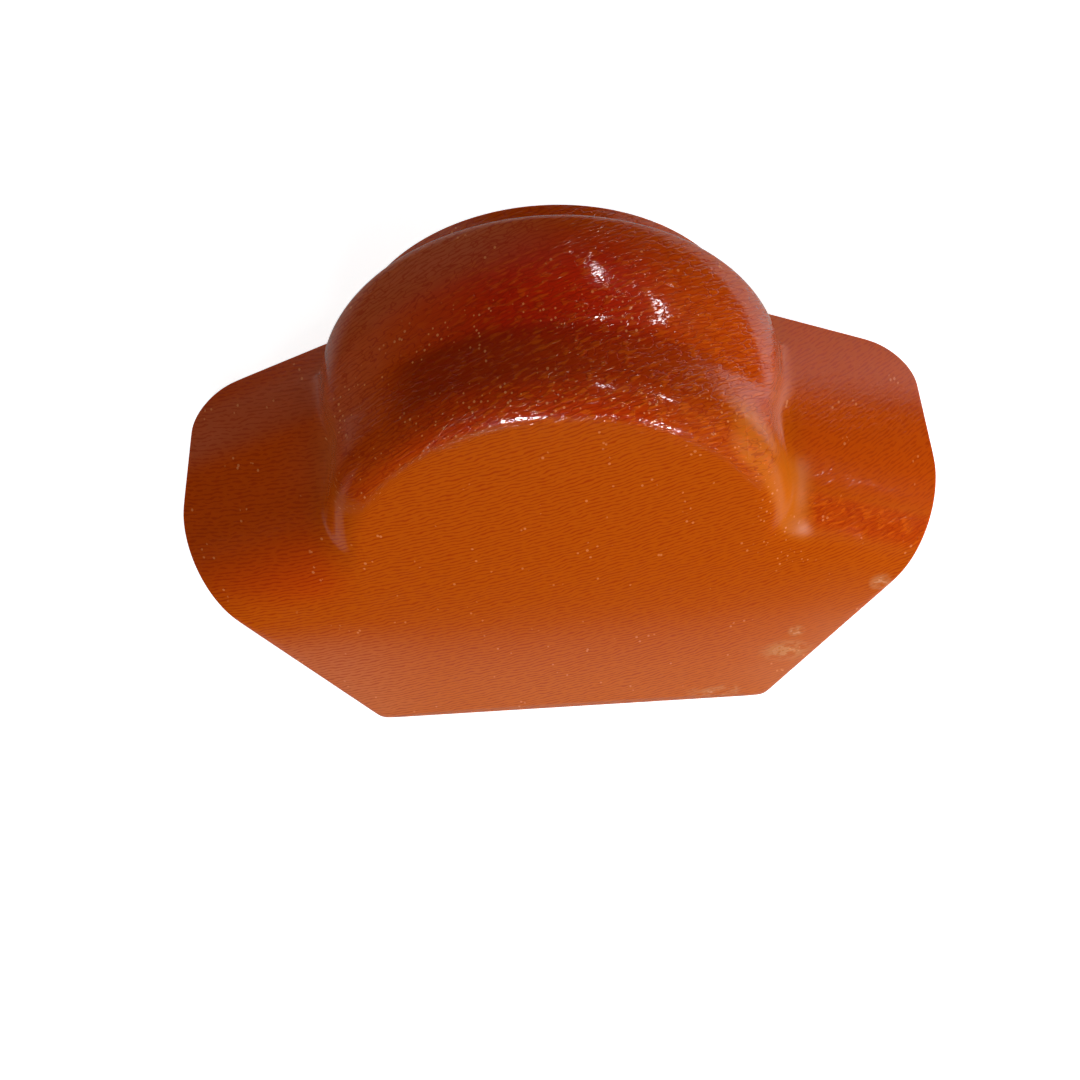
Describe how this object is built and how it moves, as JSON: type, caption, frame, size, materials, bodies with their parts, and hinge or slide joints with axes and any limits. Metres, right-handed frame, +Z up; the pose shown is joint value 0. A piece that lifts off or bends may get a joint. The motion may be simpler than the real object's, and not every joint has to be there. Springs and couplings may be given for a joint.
{
  "type": "ridge end cap",
  "caption": "Moulded plastic end cap for a tiled roof ridge: stepped half-round crown between two sloping wings, rolled over into a flat front plate.",
  "frame": {"origin": "middle of the bounding box at floor level, with the cap standing on the lower edge of its front plate and the rear corners of its wings", "axes": "+X across the ridge, +Y from the front plate towards the rear rim, +Z up"},
  "size_m": [0.3, 0.2288, 0.1196],
  "materials": {
    "resin": "glossy terracotta orange with a fine moulded ripple"
  },
  "bodies": {
    "root": {"ridge_end_cap": "resin"}
  },
  "joints": []
}
